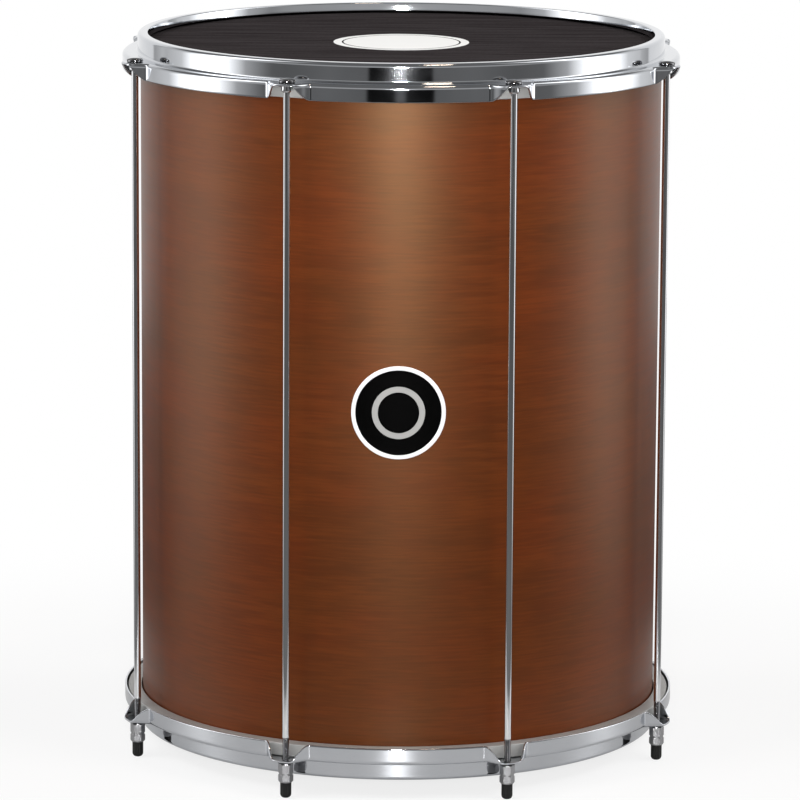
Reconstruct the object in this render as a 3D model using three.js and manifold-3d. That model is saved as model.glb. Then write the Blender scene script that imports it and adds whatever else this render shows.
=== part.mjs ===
// A surdo, the deep bass drum of a samba band: a stained wood shell with a head at each end, held by
// two pressed-steel hoops that eight long rods pull together. It stands on the rubber feet of the
// eight rod nuts. Millimetres, +Z up, origin on the floor at the middle of the eight feet.
import * as THREE from 'three';
import { mergeVertices } from 'three/addons/utils/BufferGeometryUtils.js';
import Module from 'manifold-3d';

// Driving dimensions shared by several pieces
const clearance = 0.3;              // air between two pieces that touch
const cutOverrun = 2;               // how far a cutter runs past the sheet it cuts
const rodCount = 8;
const roundSegments = 48;           // facets round the drum
const smallSegments = 10;           // facets round a rod, cap, washer or foot
const nutSides = 6;

// Shell: a bent plywood tube with a rounded and bevelled bearing edge at both ends
const shellOuterDiameter = 457.2;   // an 18 inch drum
const shellLength = 596;
const shellWall = 7;
const bearingRound = 4;             // outer round-over of the bearing edge
const bearingCrest = 1.2;           // flat crest that the head rests on

// Heads: a leather-look film tucked into an aluminium flesh hoop
const filmThickness = 0.5;
const filmTuck = 9;                 // how far the film's side reaches below the ledge of the hoop
const fleshHoopWidth = 11.8;
const fleshHoopHeight = 11.5;
const fleshHoopBevel = 1.2;

// Hoops: one pressing used at both ends, an upright collar, a flat ledge and an outer skirt
const steelSheet = 1.6;
const collarHeight = 16.5;          // from the ledge to the top of the rolled rim
const rimAboveHead = 9.5;           // how far the rim stands proud of the head
const rimRollWidth = 8.9;           // from the collar's outer face in to the lip of the roll
const rimRollRadius = 3.4;
const rimLipDrop = 4.6;
const rimLipBevel = 1.1;
const skirtHeight = 14;             // from the ledge to the skirt's free edge
const skirtGap = 1.5;               // between the flesh hoop and the skirt
const footFillet = 1.8;             // where the collar meets the ledge
const ledgeBend = 2.6;              // outside radius between the ledge and the skirt

// Ears: scoops stamped out of the skirt, each open in an arch under its rod hole
const earTipReach = 10.5;           // from the rod's axis to the tip of the ear
const earHalfWidth = 21.2;
const earRoundness = 1.8;           // the higher, the broader the tip and the steeper its sides
const earLip = 0.4;                 // how far the skirt reaches below the sheet at the tip
const archCrownHalfWidth = 7;       // the level middle of the arch
const archHalfWidth = 20;
const earStepShares = [0.36, 0.6, 0.8];  // where the skirt takes a step inside each half of an ear
const rodHoleDiameter = 7.4;

// Tension rods: M6, with a rolled shoulder under the upper ear and a cap screwed on above it
const rodDiameter = 6;
const rodToFleshHoop = 1;           // from the flesh hoop to the shoulder
const shoulderDiameter = 10;
const shoulderHeight = 6;
const shoulderShares = [[0.75, 0.6], [1, 0.25]];  // swell and depth of the rounded shoulder's points
const capDiameter = 14.2;
const capHeight = 4.8;
const capSeatHeight = 1.3;          // upright edge of the cap
const stubHeight = 2.4;             // how far the rod's end reaches into the cap

// Tension nuts, their washers and rubber feet
const washerDiameter = 14;
const washerThickness = 1.5;
const nutAcrossFlats = 11.4;
const nutHeight = 16.7;
const nutChamfer = 1;
const nutGrooveDepth = 0.5;
const nutGrooveWidth = 1.4;
const nutGrooveHeightShare = 0.45;
const footDiameter = 9.6;
const footLength = 13.4;
const footEndRound = 3.6;
const footSpigot = 1.5;             // plug on the foot that closes the nut's bore

// Badge: a bent metal disc with a raised border
const badgeDiameter = 80;
const badgeThickness = 1;
const badgeBorderWidth = 4.4;
const badgeBorderRise = 0.5;
const badgeAboveMiddle = 12;        // height of its centre over the middle of the shell
const badgeSegments = 28;
const badgeRingShares = [0.66, 0.33];

// Radii, built up from the shell outwards
const shellRadius = shellOuterDiameter / 2;
const filmOuterRadius = shellRadius + clearance + filmThickness;
const fleshInnerRadius = filmOuterRadius + clearance;
const fleshOuterRadius = fleshInnerRadius + fleshHoopWidth;
const collarInnerRadius = fleshInnerRadius;
const collarOuterRadius = collarInnerRadius + steelSheet;
const skirtRadius = fleshOuterRadius + skirtGap + steelSheet;
const rodCircleRadius = fleshOuterRadius + rodToFleshHoop + shoulderDiameter / 2;
const earTipRadius = rodCircleRadius + earTipReach;

// Heights, built up from the floor
const nutBottom = footLength + clearance;
const washerBottom = nutBottom + nutHeight + clearance;
const bottomLedge = washerBottom + washerThickness + clearance;
const headBelowRim = rimAboveHead + filmThickness + clearance;
const shellBottom = bottomLedge - collarHeight + headBelowRim;
const shellTop = shellBottom + shellLength;
const topLedge = shellTop + headBelowRim - collarHeight;

const sectorAngle = 2 * Math.PI / rodCount;
const rodAngles = Array.from({ length: rodCount }, (_, index) => (index + 0.5) * sectorAngle);

const stainedWood = new THREE.MeshStandardMaterial({ color: 0x6a3a1e, roughness: 0.42, metalness: 0 });
const chrome = new THREE.MeshStandardMaterial({ color: 0xc9cbcf, roughness: 0.08, metalness: 1 });
const aluminium = new THREE.MeshStandardMaterial({ color: 0xb4b4b2, roughness: 0.35, metalness: 1 });
const blackFilm = new THREE.MeshStandardMaterial({ color: 0x1b1b1c, roughness: 0.55, metalness: 0 });
const rubber = new THREE.MeshStandardMaterial({ color: 0x141414, roughness: 0.75, metalness: 0 });
const blackSteel = new THREE.MeshStandardMaterial({ color: 0x1a1a1c, roughness: 0.4, metalness: 0.7 });
const badgeMetal = new THREE.MeshStandardMaterial({ color: 0x222224, roughness: 0.3, metalness: 0.5 });

const manifoldLibrary = await Module();
manifoldLibrary.setup();

// Closes a geometry: shared corners are merged, slivers dropped, and the faces turned outwards.
function closedSolid(geometry) {
  const bare = geometry.clone();
  bare.deleteAttribute('normal');
  bare.deleteAttribute('uv');
  const merged = mergeVertices(bare);
  const corners = merged.getAttribute('position');
  const kept = [];
  let volume = 0;
  for (let at = 0; at < merged.index.count; at += 3) {
    const [a, b, c] = [0, 1, 2].map((step) => merged.index.getX(at + step));
    if (a === b || b === c || c === a) continue;
    kept.push(a, b, c);
    const vectorAt = (corner) => new THREE.Vector3().fromBufferAttribute(corners, corner);
    const [pa, pb, pc] = [a, b, c].map(vectorAt);
    volume += pa.dot(pb.cross(pc));
  }
  if (volume < 0) kept.reverse();
  merged.setIndex(kept);
  merged.computeVertexNormals();
  return merged;
}

function toManifold(geometry) {
  return new manifoldLibrary.Manifold(new manifoldLibrary.Mesh({
    numProp: 3,
    vertProperties: Float32Array.from(geometry.getAttribute('position').array),
    triVerts: Uint32Array.from(geometry.index.array),
  }));
}

function fromManifold(solid) {
  const mesh = solid.getMesh();
  const geometry = new THREE.BufferGeometry();
  geometry.setAttribute('position', new THREE.BufferAttribute(mesh.vertProperties, 3));
  geometry.setIndex(Array.from(mesh.triVerts));
  geometry.computeVertexNormals();
  return geometry;
}

// A turned solid from a profile of [radius, height] pairs. Its first facet corner faces -Y.
function turned(profile, segments) {
  const points = profile.map(([radius, height]) => new THREE.Vector2(radius, height));
  return closedSolid(new THREE.LatheGeometry(points, segments).rotateX(Math.PI / 2));
}

// The radius of a faceted circle whose flats, not its corners, lie at the given radius.
function roundFlats(radius, segments) {
  return radius / Math.cos(Math.PI / segments);
}

// Points of an arc round a centre, as [radius, height] pairs, between two angles in degrees.
function arc(centre, radius, from, to, steps) {
  return Array.from({ length: steps + 1 }, (_, step) => {
    const angle = THREE.MathUtils.degToRad(from + (to - from) * step / steps);
    return [centre[0] + radius * Math.cos(angle), centre[1] + radius * Math.sin(angle)];
  });
}

function onCircle(radius, angle, height) {
  return new THREE.Vector3(radius * Math.sin(angle), -radius * Math.cos(angle), height);
}

const parts = new THREE.Group();

function addPart(name, geometry, material, place = new THREE.Vector3()) {
  const mesh = new THREE.Mesh(geometry, material);
  mesh.name = name;
  mesh.position.copy(place);
  parts.add(mesh);
  return mesh;
}

// Shell
function bearingEdge(direction, end) {
  const middle = shellRadius - bearingRound;
  const round = arc([middle, 0], bearingRound, 0, 90, 2);
  const bevel = shellWall - bearingRound - bearingCrest;
  const edge = [
    ...round.map(([radius, height]) => [radius, height - bearingRound]),
    [middle - bearingCrest, 0],
    [shellRadius - shellWall, -bevel],
  ];
  return edge.map(([radius, height]) => [radius, end + direction * height]);
}

const shellProfile = [
  ...bearingEdge(1, shellTop),
  ...bearingEdge(-1, shellBottom).reverse(),
];
addPart('shell', turned([...shellProfile, shellProfile[0]], roundSegments), stainedWood);

// Heads. Heights are counted from the ledge of the hoop that holds the head.
const headTop = collarHeight - rimAboveHead;

function headProfile() {
  const bendCentre = [shellRadius - bearingRound, headTop - filmThickness - clearance - bearingRound];
  const outerBend = bearingRound + clearance + filmThickness;
  const innerBend = bearingRound + clearance;
  return [
    [0, headTop],
    ...arc(bendCentre, outerBend, 90, 0, 2),
    [filmOuterRadius, -filmTuck],
    [filmOuterRadius - filmThickness, -filmTuck],
    ...arc(bendCentre, innerBend, 0, 90, 2),
    [0, headTop - filmThickness],
  ];
}

const headSolid = turned(headProfile(), roundSegments);

// Flesh hoops: the bar inside the skirt that the ledge presses down
function fleshHoopProfile() {
  const top = -steelSheet - clearance;
  const bottom = top - fleshHoopHeight;
  return [
    [fleshInnerRadius, bottom],
    [fleshOuterRadius, bottom],
    [fleshOuterRadius, top - fleshHoopBevel],
    [fleshOuterRadius - fleshHoopBevel, top],
    [fleshInnerRadius + footFillet + steelSheet, top],
    [fleshInnerRadius, top - footFillet],
    [fleshInnerRadius, bottom],
  ];
}

const fleshHoopSolid = turned(fleshHoopProfile(), roundSegments);

// Hoops. The pressing is lofted through rings round the drum. The rings of the collar are circles,
// and those of the ledge's edge and the skirt follow a plan outline that swells at each rod.
function earShare(distance) {
  const out = Math.min(Math.abs(distance) / earHalfWidth, 1);
  return (1 + Math.cos(Math.PI * out ** earRoundness)) / 2;
}

function fromNearestRod(angle) {
  const turn = angle / sectorAngle;
  return (turn - Math.floor(turn) - 0.5) * sectorAngle * rodCircleRadius;
}

function outlinePoint(angle) {
  const swell = earTipRadius - skirtRadius;
  return onCircle(skirtRadius + swell * earShare(fromNearestRod(angle)), angle, 0);
}

// The step either side of a point of the outline over which its direction is taken
const outlineStepShare = 0.0001;

function outlineInward(angle) {
  const step = sectorAngle * outlineStepShare;
  const along = outlinePoint(angle + step).sub(outlinePoint(angle - step)).normalize();
  return new THREE.Vector3(-along.y, along.x, 0);
}

// Depth of the skirt below the ledge: full between the ears, an arch up to a short lip at each rod.
function skirtDepth(angle) {
  const shallow = steelSheet + earLip;
  const pastCrown = Math.abs(fromNearestRod(angle)) - archCrownHalfWidth;
  const out = THREE.MathUtils.clamp(pastCrown / (archHalfWidth - archCrownHalfWidth), 0, 1);
  return shallow + (skirtHeight - shallow) * (1 - Math.cos(Math.PI * out)) / 2;
}

// Outside radius of the bend between the ledge and the skirt. It tightens where the arch cuts it.
function bendRadius(angle) {
  return THREE.MathUtils.clamp(skirtDepth(angle) - earLip, steelSheet, ledgeBend);
}

const gridAngles = Array.from({ length: roundSegments }, (_, index) => index * 2 * Math.PI / roundSegments);

// The skirt has more steps through each ear than the rest of the drum has.
function skirtAngles() {
  const between = gridAngles.filter((angle) => Math.abs(fromNearestRod(angle)) > earHalfWidth);
  const inside = earStepShares.map((share) => share * earHalfWidth);
  const distances = [...inside, earHalfWidth];
  const turns = distances.map((distance) => distance / rodCircleRadius);
  const ears = rodAngles.flatMap((centre) => [
    centre,
    ...turns.flatMap((turn) => [centre - turn, centre + turn]),
  ]);
  return [...between, ...ears].sort((first, second) => first - second);
}

// Joins rings of points, each a list of { angle, point } once round the drum, into a closed skin.
function loftRings(rings) {
  const points = [];
  const numbered = rings.map((ring) => ring.map(({ angle, point }) => {
    points.push(point.x, point.y, point.z);
    return { angle, number: points.length / 3 - 1 };
  }));
  const faces = [];
  numbered.forEach((ring, index) => {
    const next = numbered[(index + 1) % numbered.length];
    let [here, there] = [0, 0];
    const angleAfter = (list, at) => (
      at + 1 < list.length ? list[at + 1].angle : list[0].angle + 2 * Math.PI);
    while (here < ring.length || there < next.length) {
      const [a, b] = [ring[here % ring.length].number, next[there % next.length].number];
      const stepHere = there >= next.length
        || (here < ring.length && angleAfter(ring, here) <= angleAfter(next, there));
      if (stepHere) {
        here += 1;
        faces.push(a, ring[here % ring.length].number, b);
      } else {
        there += 1;
        faces.push(a, next[there % next.length].number, b);
      }
    }
  });
  const geometry = new THREE.BufferGeometry();
  geometry.setAttribute('position', new THREE.Float32BufferAttribute(points, 3));
  geometry.setIndex(faces);
  return closedSolid(geometry);
}

function hoopGeometry() {
  const angles = skirtAngles();
  const skirtRing = (insetAt, heightAt) => angles.map((angle) => {
    const point = outlinePoint(angle).addScaledVector(outlineInward(angle), insetAt(angle));
    point.z = heightAt(angle);
    return { angle, point };
  });
  const freeEdge = (angle) => -skirtDepth(angle);
  const innerWall = () => steelSheet;
  const collarRing = ([radius, height]) => gridAngles.map((angle) => (
    { angle, point: onCircle(radius, angle, height) }));
  const lipRadius = collarOuterRadius - rimRollWidth;
  const rollCentre = [collarOuterRadius - rimRollRadius, collarHeight - rimRollRadius];
  const bend = arc([0, -1], 1, 0, 90, 2).map(([across, height]) => skirtRing(
    (angle) => bendRadius(angle) * (1 - across), (angle) => bendRadius(angle) * height));
  const collar = [
    [collarOuterRadius + footFillet, 0],
    [collarOuterRadius, footFillet],
    ...arc(rollCentre, rimRollRadius, 0, 90, 2),
    [lipRadius + rimLipBevel, collarHeight],
    [lipRadius, collarHeight - rimLipBevel],
    [lipRadius, collarHeight - rimLipDrop],
    [lipRadius + steelSheet, collarHeight - rimLipDrop],
    [lipRadius + steelSheet, collarHeight - steelSheet],
    [collarInnerRadius, collarHeight - steelSheet],
    [collarInnerRadius, footFillet],
    [collarOuterRadius + footFillet, -steelSheet],
  ];
  return loftRings([
    skirtRing(() => 0, freeEdge),
    ...bend,
    ...collar.map(collarRing),
    skirtRing(bendRadius, () => -steelSheet),
    skirtRing(innerWall, (angle) => -bendRadius(angle)),
    skirtRing(innerWall, freeEdge),
  ]);
}

function rodHoleCutters() {
  const reach = steelSheet + 2 * cutOverrun;
  const radius = roundFlats(rodHoleDiameter / 2, smallSegments);
  return rodAngles.map((angle) => {
    const cutter = new THREE.CylinderGeometry(radius, radius, reach, smallSegments).rotateX(Math.PI / 2);
    const middle = onCircle(rodCircleRadius, angle, -steelSheet / 2);
    return toManifold(closedSolid(cutter.translate(middle.x, middle.y, middle.z)));
  });
}

const hoopSolid = fromManifold(rodHoleCutters().reduce((hoop, cutter) => hoop.subtract(cutter),
  toManifold(hoopGeometry())));

// The bottom end is the top end turned over.
for (const [end, ledge, turn] of [['top', topLedge, 0], ['bottom', bottomLedge, Math.PI]]) {
  const place = new THREE.Vector3(0, 0, ledge);
  addPart(`${end}_head`, headSolid, blackFilm, place).rotation.x = turn;
  addPart(`${end}_flesh_hoop`, fleshHoopSolid, aluminium, place).rotation.x = turn;
  addPart(`${end}_hoop`, hoopSolid, chrome, place).rotation.x = turn;
}

// Rods, from the shoulder under the upper ear down into the nut, with a stub up into the cap
function rodProfile() {
  const radius = rodDiameter / 2;
  const shoulder = shoulderDiameter / 2;
  const shoulderTop = topLedge - steelSheet - clearance;
  const swell = (share) => radius + (shoulder - radius) * share;
  const end = footLength + footSpigot + clearance;
  return [
    [0, end],
    [radius, end],
    [radius, shoulderTop - shoulderHeight],
    ...shoulderShares.map(([out, down]) => [swell(out), shoulderTop - shoulderHeight * down]),
    [shoulder, shoulderTop],
    [radius, shoulderTop],
    [radius, topLedge + stubHeight],
    [0, topLedge + stubHeight],
  ];
}

function capProfile() {
  const radius = capDiameter / 2;
  const bore = roundFlats(rodDiameter / 2 + clearance, smallSegments);
  const seat = topLedge + clearance;
  const dome = arc([0, 0], 1, 0, 90, 2);
  const domeHeight = capHeight - capSeatHeight;
  return [
    [0, topLedge + stubHeight + clearance],
    [bore, topLedge + stubHeight + clearance],
    [bore, seat],
    [radius, seat],
    ...dome.map(([across, up]) => [across * radius, seat + capSeatHeight + up * domeHeight]),
  ];
}

// Washers, nuts and feet under the lower ears
function washerProfile() {
  const hole = roundFlats(rodHoleDiameter / 2, smallSegments);
  const top = washerBottom + washerThickness;
  return [
    [hole, washerBottom],
    [washerDiameter / 2, washerBottom],
    [washerDiameter / 2, top],
    [hole, top],
    [hole, washerBottom],
  ];
}

// The nut is a turned blank, bored for the rod, whose rings are pressed to a hexagon.
function nutGeometry() {
  const segments = 2 * nutSides;
  const bore = roundFlats(rodDiameter / 2 + clearance, segments);
  const corner = nutAcrossFlats / 2;
  const grooveMiddle = nutBottom + nutHeight * nutGrooveHeightShare;
  const nutTop = nutBottom + nutHeight;
  const profile = [
    [bore, nutBottom],
    [corner - nutChamfer, nutBottom],
    [corner, nutBottom + nutChamfer],
    [corner, grooveMiddle - nutGrooveWidth / 2],
    [corner - nutGrooveDepth, grooveMiddle],
    [corner, grooveMiddle + nutGrooveWidth / 2],
    [corner, nutTop],
    [bore, nutTop],
    [bore, nutBottom],
  ];
  const geometry = turned(profile, segments);
  const corners = geometry.getAttribute('position');
  const smallestHexRadius = (bore + corner - nutChamfer) / 2;
  for (let at = 0; at < corners.count; at += 1) {
    const [x, y] = [corners.getX(at), corners.getY(at)];
    const radius = Math.hypot(x, y);
    if (radius < smallestHexRadius) continue;
    const onCorner = Math.round(Math.atan2(x, -y) * nutSides / Math.PI) % 2 !== 0;
    const stretch = onCorner ? roundFlats(1, nutSides) : 1;
    corners.setXY(at, x * stretch, y * stretch);
  }
  geometry.computeVertexNormals();
  return geometry;
}

function footProfile() {
  const radius = footDiameter / 2;
  return [
    [0, 0],
    ...arc([radius - footEndRound, footEndRound], footEndRound, -90, 0, 2),
    [radius, footLength],
    [rodDiameter / 2, footLength],
    [rodDiameter / 2, footLength + footSpigot],
    [0, footLength + footSpigot],
  ];
}

const rodSolid = turned(rodProfile(), smallSegments);
const capSolid = turned(capProfile(), smallSegments);
const washerSolid = turned(washerProfile(), smallSegments);
const nutSolid = nutGeometry();
const footSolid = turned(footProfile(), smallSegments);

rodAngles.forEach((angle, index) => {
  const place = onCircle(rodCircleRadius, angle, 0);
  addPart(`tension_rod_${index + 1}`, rodSolid, chrome, place);
  addPart(`rod_cap_${index + 1}`, capSolid, chrome, place);
  addPart(`washer_${index + 1}`, washerSolid, blackSteel, place);
  addPart(`tension_nut_${index + 1}`, nutSolid, chrome, place);
  addPart(`rubber_foot_${index + 1}`, footSolid, rubber, place);
});

// Badge: a flat turned disc, then bent round the front of the shell
function badgeGeometry() {
  const radius = badgeDiameter / 2;
  const border = radius - badgeBorderWidth;
  const back = shellRadius + clearance;
  const face = back + badgeThickness;
  const profile = [
    [0, back],
    [radius / 2, back],
    [radius, back],
    [radius, face + badgeBorderRise],
    [border, face + badgeBorderRise],
    [border - badgeBorderRise, face],
    ...badgeRingShares.map((share) => [radius * share, face]),
    [0, face],
  ];
  const geometry = turned(profile, badgeSegments);
  const corners = geometry.getAttribute('position');
  for (let at = 0; at < corners.count; at += 1) {
    const [across, up, out] = [corners.getX(at), corners.getY(at), corners.getZ(at)];
    const bent = onCircle(out, across / shellRadius, up);
    corners.setXYZ(at, bent.x, bent.y, bent.z);
  }
  return closedSolid(geometry);
}

const badgeHeight = shellBottom + shellLength / 2 + badgeAboveMiddle;
addPart('badge', badgeGeometry(), badgeMetal, new THREE.Vector3(0, 0, badgeHeight));

export default parts;
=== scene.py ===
# Surdo, the deep bass drum of a samba band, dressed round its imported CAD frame. Metres, +Z up, the
# drum on its eight rubber feet at the origin, front towards -Y. The sections follow the drum as it
# is put together, from the shell outwards to the badge.
import math

import bmesh
import bpy
from mathutils import Matrix, Vector


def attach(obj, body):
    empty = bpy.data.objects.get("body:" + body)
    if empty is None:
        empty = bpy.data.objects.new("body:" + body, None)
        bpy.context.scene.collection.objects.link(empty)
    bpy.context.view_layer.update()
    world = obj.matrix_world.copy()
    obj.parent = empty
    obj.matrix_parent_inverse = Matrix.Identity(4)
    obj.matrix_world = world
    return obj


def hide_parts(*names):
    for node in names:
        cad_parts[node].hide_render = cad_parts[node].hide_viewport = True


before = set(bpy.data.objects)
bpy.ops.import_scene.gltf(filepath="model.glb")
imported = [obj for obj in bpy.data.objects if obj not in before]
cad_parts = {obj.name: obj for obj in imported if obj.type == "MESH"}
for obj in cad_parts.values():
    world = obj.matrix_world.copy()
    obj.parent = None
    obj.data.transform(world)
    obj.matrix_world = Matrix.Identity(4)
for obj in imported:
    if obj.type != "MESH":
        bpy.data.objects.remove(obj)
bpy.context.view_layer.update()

# Camera: a long lens a little above the drum, 4.5 metres off, as the product photograph has it.
# It leans a third of a degree, and stands a hair to the right of the drum's front.
aim = Vector((0.00065, 0, 0.3031))
camera_distance = 4.528
camera_elevation = math.radians(10.92)
camera_azimuth = math.radians(0.15)
camera_lean = math.radians(-0.33)
lens_length = 229.07
sensor_width = 36
sight_limit = 60
away = Vector((
    math.sin(camera_azimuth) * math.cos(camera_elevation),
    -math.cos(camera_azimuth) * math.cos(camera_elevation),
    math.sin(camera_elevation),
))
eye = Vector((0, 0, aim.z)) + away * camera_distance
sight = (aim - eye).normalized()
level = sight.cross(Vector((0, 0, 1))).normalized()
upright = level.cross(sight)
right = level * math.cos(camera_lean) - upright * math.sin(camera_lean)
top = level * math.sin(camera_lean) + upright * math.cos(camera_lean)

camera = bpy.data.objects.new("camera", bpy.data.cameras.new("camera"))
camera.data.sensor_width = sensor_width
camera.data.lens = lens_length
camera.data.clip_end = sight_limit
camera.matrix_world = Matrix.Translation(eye) @ Matrix((right, top, -sight)).transposed().to_4x4()
scene = bpy.context.scene
scene.collection.objects.link(camera)
scene.camera = camera
scene.view_settings.view_transform = "Standard"


# Studio: a pale floor in a white sweep, a tall soft box at either side, a small key lamp level with
# the camera, a smaller warm one above, and two fill lamps that the chrome doesn't show. Dark grey
# walls stand in front with a black gap between them. The chrome mirrors the rest.
class Flow:
    """A node's socket. Sums, products and comparisons of flows add Math nodes."""

    def __init__(self, socket):
        self.socket = socket

    def of(self, output):
        """Another output of the same node."""
        return Flow(self.socket.node.outputs[output])

    def math(self, operation, *values):
        """A Math node with these values in its sockets."""
        node = self.socket.id_data.nodes.new("ShaderNodeMath")
        node.operation = operation
        for socket, value in zip(node.inputs, values):
            feed(socket, value)
        return Flow(node.outputs[0])

    def __add__(self, other):
        return self.math("ADD", self, other)

    def __radd__(self, other):
        return self.math("ADD", other, self)

    def __sub__(self, other):
        return self.math("SUBTRACT", self, other)

    def __rsub__(self, other):
        return self.math("SUBTRACT", other, self)

    def __mul__(self, other):
        return self.math("MULTIPLY", self, other)

    def __rmul__(self, other):
        return self.math("MULTIPLY", other, self)

    def __truediv__(self, other):
        return self.math("DIVIDE", self, other)

    def __rtruediv__(self, other):
        return self.math("DIVIDE", other, self)

    def __pow__(self, other):
        return self.math("POWER", self, other)

    def __rpow__(self, other):
        return self.math("POWER", other, self)

    def __neg__(self):
        return self.math("MULTIPLY", self, -1)

    def __abs__(self):
        return self.math("ABSOLUTE", self)

    def __gt__(self, other):
        return self.math("GREATER_THAN", self, other)

    def __lt__(self, other):
        return self.math("LESS_THAN", self, other)


def feed(socket, value):
    """Links a flow to a socket, or sets its value: three numbers in a colour socket get alpha 1."""
    if isinstance(value, Flow):
        socket.id_data.links.new(value.socket, socket)
    elif socket.type == "RGBA":
        socket.default_value = (*value, 1)
    else:
        socket.default_value = value


class Nodes:
    """The nodes of one finish, lamp or sky."""

    def __init__(self, tree):
        self.tree = tree
        tree.nodes.clear()

    def add(self, kind, settings=(), out=0, **sockets):
        """Adds a node, sets its settings and a ramp's stops, then its sockets' values or links."""
        node = self.tree.nodes.new("ShaderNode" + kind)
        for name, value in dict(settings).items():
            if name == "stops":
                ramp = node.color_ramp.elements
                while len(ramp) < len(value):
                    ramp.new(1)
                for element, (position, shade) in zip(ramp, value):
                    element.position = position
                    element.color = (*shade, 1) if isinstance(shade, tuple) else (shade,) * 3 + (1,)
            else:
                setattr(node, name, value)
        for name, value in sockets.items():
            same_name = [s for s in node.inputs if s.name == name.replace("_", " ")]
            same_code = [s for s in node.inputs if s.identifier == name]
            feed((same_code or same_name)[0], value)
        return Flow(node.outputs[out]) if node.outputs else None

    def step(self, value, low, high):
        """A smooth step from 0 at low to 1 at high."""
        return self.add("MapRange", {"interpolation_type": "SMOOTHSTEP"}, Value=value,
                        From_Min=low, From_Max=high)

    def blend(self, share, first, second, how="MIX"):
        """The first colour, with the second mixed in as far as share goes from 0 to 1."""
        return self.add("Mix", {"data_type": "RGBA", "blend_type": how}, out=2,
                        Factor_Float=share, A_Color=first, B_Color=second)

    def ramp(self, stops, share):
        """The colour at a share of the way along the stops."""
        return self.add("ValToRGB", {"stops": stops}, Fac=share)


# Each stop is a share of the half turn from the front of the studio to its back, and the light
# there. The right soft box stands a little further back than the left one, by box_turn.
gap_edge = 0.079
wall_stops = [
    (0.006, 0.06), (0.016, 0.002), (gap_edge - 0.006, 0.002), (gap_edge, 0.07), (0.17, 0.085),
    (0.28, 0.065), (0.36, 0.08), (0.6, 0.2), (0.7, 0.33), (0.75, 0.22), (0.762, 0.45), (1, 0.5),
]
upper_wall_stops = [(0, 0.24), (0.3, 0.2), (0.6, 0)]
box_stops = [
    (0.32, 0), (0.39, 0.16), (0.44, 0.7), (0.5, 1.9), (0.56, 0.8), (0.61, 0.2), (0.68, 0),
]
box_turn = 0.034
box_foot, box_head = (-0.28, -0.12), (0.75, 0.97)
upper_wall_foot, ceiling_edge = (0.02, 0.1), (0.4, 0.6)
ceiling_grey = (0.08, 0.08, 0.08)
sky_strength = 2.0


def half_turn_share(side, ahead):
    """How far round a direction lies: 0 straight before the drum and 1 behind it."""
    return side.math("ARCTAN2", abs(side), -ahead) / math.pi


def box_light(nodes, share, side):
    """The light of the soft boxes at a share of the half turn."""
    return nodes.ramp(box_stops, share - box_turn * (side > 0))


sky = bpy.data.worlds.new("studio")
scene.world = sky
sky.use_nodes = True
air = Nodes(sky.node_tree)
way = air.add("SeparateXYZ", Vector=air.add("TexCoord", out="Generated"))
side, ahead, rise = way.of("X"), way.of("Y"), way.of("Z")
round_share = half_turn_share(side, ahead)
walls = air.blend(air.step(rise, *upper_wall_foot), air.ramp(wall_stops, round_share),
                  air.ramp(upper_wall_stops, round_share), "LIGHTEN")
room = air.blend(air.step(rise, *ceiling_edge), walls, ceiling_grey)
box_share = air.step(rise, *box_foot) * (1 - air.step(rise, *box_head))
studio = air.blend(box_share, room, box_light(air, round_share, side), "ADD")
seen = air.add("LightPath", out="Is Camera Ray")
air.add("OutputWorld", Surface=air.add(
    "MixShader", Fac=seen, Shader=air.add("Background", Color=studio, Strength=sky_strength),
    Shader_001=air.add("Background", Color=(1, 1, 1), Strength=1)))

straight_only, fill_bounces = 1, 4


def soft_box(name, place, target, width, height, energy, spread=180, shows=True, tint=(1, 1, 1)):
    """A rectangular lamp, its spread in degrees. One that shows in the chrome lights only what it
    shines on straight, so that the chrome throws no patches of its light."""
    lamp = bpy.data.objects.new(name, bpy.data.lights.new(name, "AREA"))
    lamp.data.shape = "RECTANGLE"
    lamp.data.size, lamp.data.size_y = width, height
    lamp.data.energy, lamp.data.color = energy, tint
    lamp.data.spread = math.radians(spread)
    lamp.data.cycles.max_bounces = straight_only if shows else fill_bounces
    lamp.location = place
    lamp.rotation_euler = (Vector(target) - Vector(place)).to_track_quat("-Z", "Y").to_euler()
    lamp.visible_glossy = shows
    lamp.visible_camera = False
    scene.collection.objects.link(lamp)


soft_box("key_lamp", (0, -3.2, 1.0), (0, 0, 0.82), width=0.24, height=0.6, energy=8.3, spread=50)
for name, across in (("left_fill", -1.5), ("right_fill", 1.5)):
    soft_box(name, (across, -1.1, 2.1), (0, 0, 0.8), width=0.8, height=0.8, energy=6, spread=90,
             shows=False)
soft_box("top_lamp", (0.42, -0.55, 3.0), (0, 0, 0.6), width=0.35, height=0.12, energy=4,
         tint=(1, 0.8, 0.62))

floor_rings = [0.25, 0.5, 0.8, 1.1, 1.6, 2.2]
floor_steps = 96
shadow_ring, near_ring, glow_ring = (0.4, 0.85), (0.48, 0.62), (0.3, 2)
shadow_share = 0.2
floor_grey, painted_floor_glow = (0.4, 0.4, 0.4), (0.165, 0.165, 0.165)
dim_grey = (0.14, 0.14, 0.14)


def floor_disc():
    """A round floor, in rings that widen away from the drum."""
    points, faces = [(0, 0, 0)], []
    for ring, radius in enumerate(floor_rings):
        start = 1 + ring * floor_steps
        for step in range(floor_steps):
            angle = 2 * math.pi * step / floor_steps
            points.append((radius * math.cos(angle), radius * math.sin(angle), 0))
            after = (step + 1) % floor_steps
            if ring:
                inner = start - floor_steps
                faces.append((inner + step, start + step, start + after, inner + after))
            else:
                faces.append((0, start + step, start + after))
    mesh = bpy.data.meshes.new("floor")
    mesh.from_pydata(points, [], faces)
    return bpy.data.objects.new("floor", mesh)


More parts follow.
